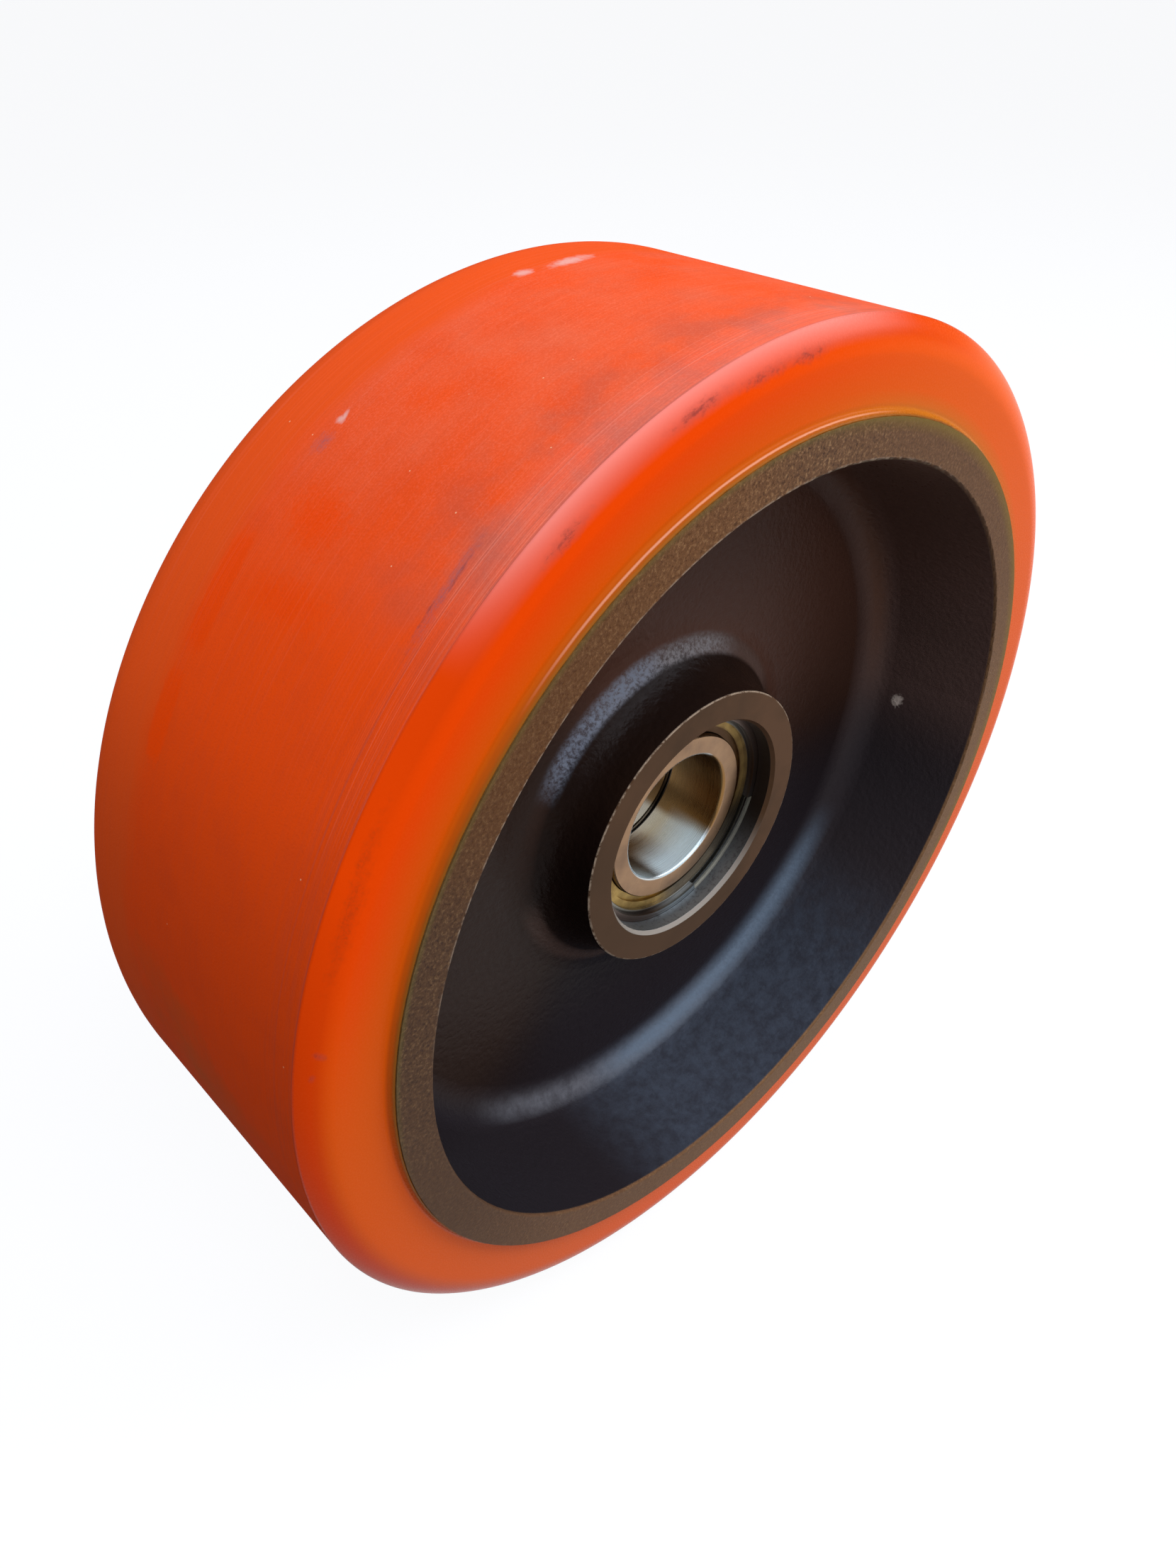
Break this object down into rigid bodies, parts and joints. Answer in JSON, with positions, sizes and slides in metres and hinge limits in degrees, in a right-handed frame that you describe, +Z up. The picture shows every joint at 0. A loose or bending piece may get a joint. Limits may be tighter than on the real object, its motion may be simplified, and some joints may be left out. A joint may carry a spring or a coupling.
{
  "type": "load wheel",
  "caption": "Cushion-tyred load wheel for a lift truck: turned polyurethane tread on a dished cast core, running on sealed ball bearings about a plain axle bore.",
  "frame": {"origin": "centre of the wheel: on its turning axis, midway between the two rim faces", "axes": "+Y along the turning axis from the front face to the rear face, +Z up, +X to the right as seen from the front"},
  "size_m": [0.285, 0.104, 0.285],
  "materials": {
    "orange_polyurethane": "cast polyurethane, tread turned to size, dusty satin",
    "black_cast_iron": "black paint on the casting, machined bare rim and hub faces",
    "bearing_steel": "ground, lightly tarnished",
    "ball_steel": "polished",
    "cage_steel": "pressed sheet",
    "yellow_zinc_sheet": "pressed sheet with a yellow plated film",
    "spring_steel": "oiled spring steel"
  },
  "bodies": {
    "axle_side": {"front_inner_ring": "bearing_steel", "rear_inner_ring": "bearing_steel"},
    "wheel": {"polyurethane_tread": "orange_polyurethane", "cast_wheel_core": "black_cast_iron", "front_outer_ring": "bearing_steel", "front_outer_shield": "yellow_zinc_sheet", "front_inner_shield": "yellow_zinc_sheet", "front_snap_ring": "spring_steel", "rear_outer_ring": "bearing_steel", "rear_outer_shield": "yellow_zinc_sheet", "rear_inner_shield": "yellow_zinc_sheet", "rear_snap_ring": "spring_steel"},
    "front_cage_set": {"front_balls": "ball_steel", "front_cage_outer_half": "cage_steel", "front_cage_inner_half": "cage_steel", "front_cage_rivets": "cage_steel"},
    "rear_cage_set": {"rear_balls": "ball_steel", "rear_cage_outer_half": "cage_steel", "rear_cage_inner_half": "cage_steel", "rear_cage_rivets": "cage_steel"}
  },
  "joints": [
    {"name": "wheel_spin", "type": "hinge", "parent": "axle_side", "child": "wheel", "pos_m": [0, 0, 0], "axis": [0, 1, 0], "continuous": true},
    {"name": "front_cage_spin", "type": "hinge", "parent": "axle_side", "child": "front_cage_set", "pos_m": [0, 0, 0], "axis": [0, 1, 0], "continuous": true},
    {"name": "rear_cage_spin", "type": "hinge", "parent": "axle_side", "child": "rear_cage_set", "pos_m": [0, 0, 0], "axis": [0, 1, 0], "continuous": true}
  ],
  "couplings": [
    {"joint": "front_cage_spin", "follows": "wheel_spin", "ratio": 0.5735},
    {"joint": "rear_cage_spin", "follows": "wheel_spin", "ratio": 0.5735}
  ]
}
